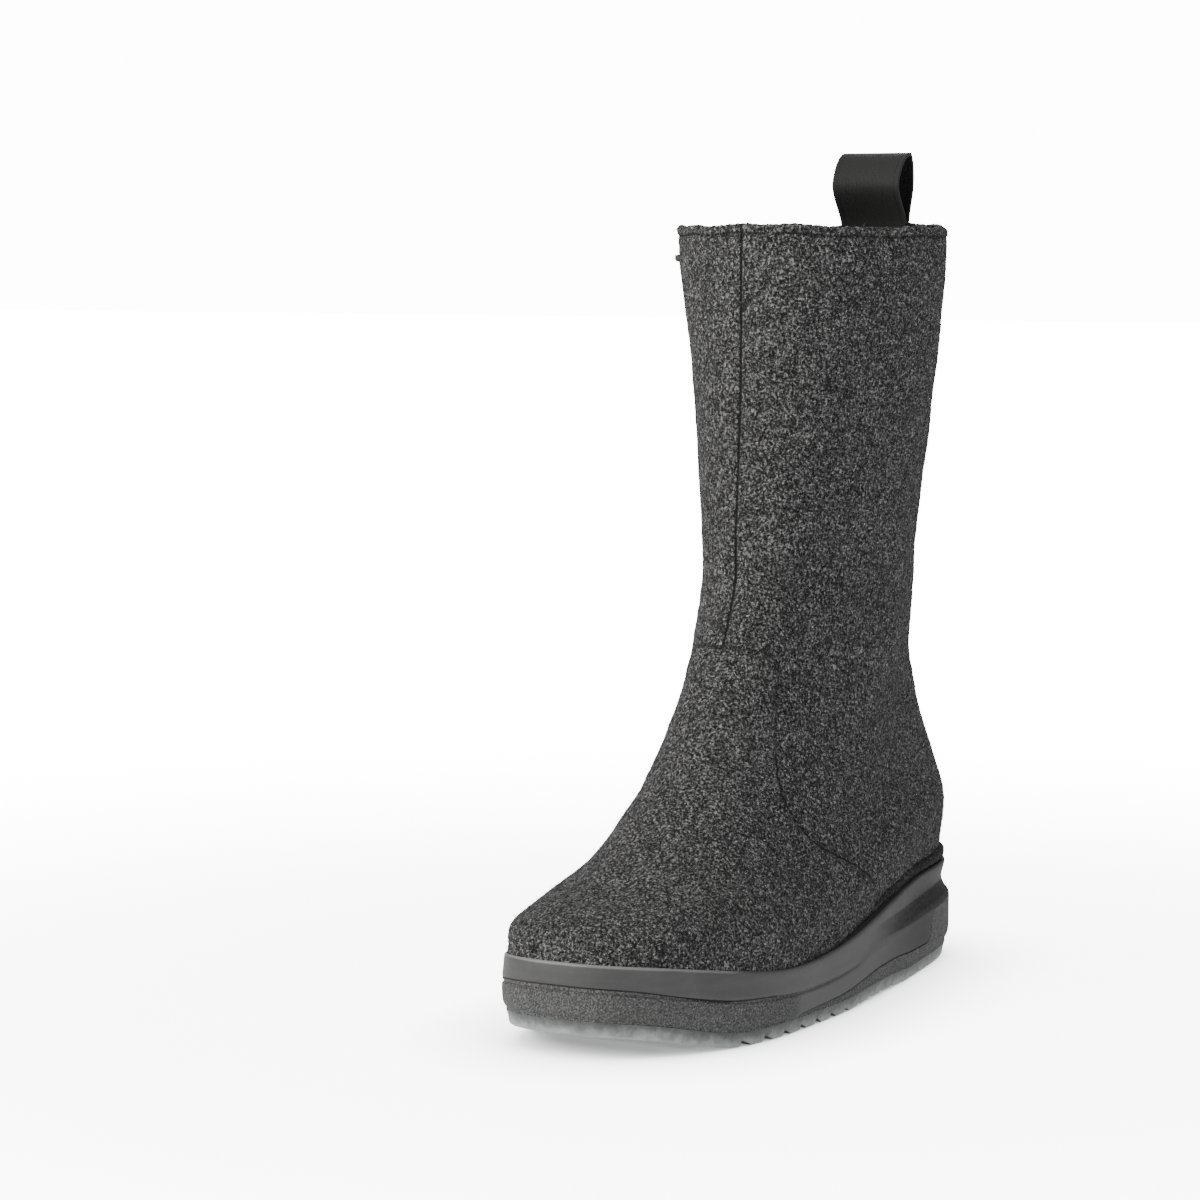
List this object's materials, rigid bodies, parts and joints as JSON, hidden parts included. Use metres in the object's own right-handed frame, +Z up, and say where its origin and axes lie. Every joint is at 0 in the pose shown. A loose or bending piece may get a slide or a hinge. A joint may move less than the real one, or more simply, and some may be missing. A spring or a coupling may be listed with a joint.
{
  "type": "felt winter boot",
  "caption": "Mid-calf felt winter boot for the left foot, with a side zip, a rubber cup sole on a pale tread and a tape pull loop at the back.",
  "frame": {"origin": "middle of the bounding box at floor level, under the sole", "axes": "+Z up, toe towards -X, outer side of the foot towards -Y"},
  "size_m": [0.276, 0.1031, 0.3269],
  "materials": {
    "felt": "matte pressed wool, charcoal heather",
    "rubber": "soft sheen, finely pebbled lower band",
    "tread_rubber": "cloudy, slightly translucent",
    "insole_felt": "matte felt",
    "tape": "fine ribbed woven tape",
    "zip_metal": "dark satin"
  },
  "bodies": {
    "boot": {"upper": "felt", "cup_sole": "rubber", "outsole": "tread_rubber", "insole": "insole_felt", "pull_loop": "tape", "zip_tape": "tape", "zip_teeth": "zip_metal", "zip_slider": "zip_metal"},
    "pull": {"zip_pull": "zip_metal"}
  },
  "joints": [
    {"name": "pull_swing", "type": "hinge", "parent": "boot", "child": "pull", "pos_m": [0.03107, 0.04961, 0.28468], "axis": [0.9658, 0.2305, -0.1185], "range_deg": [0, 165]}
  ]
}
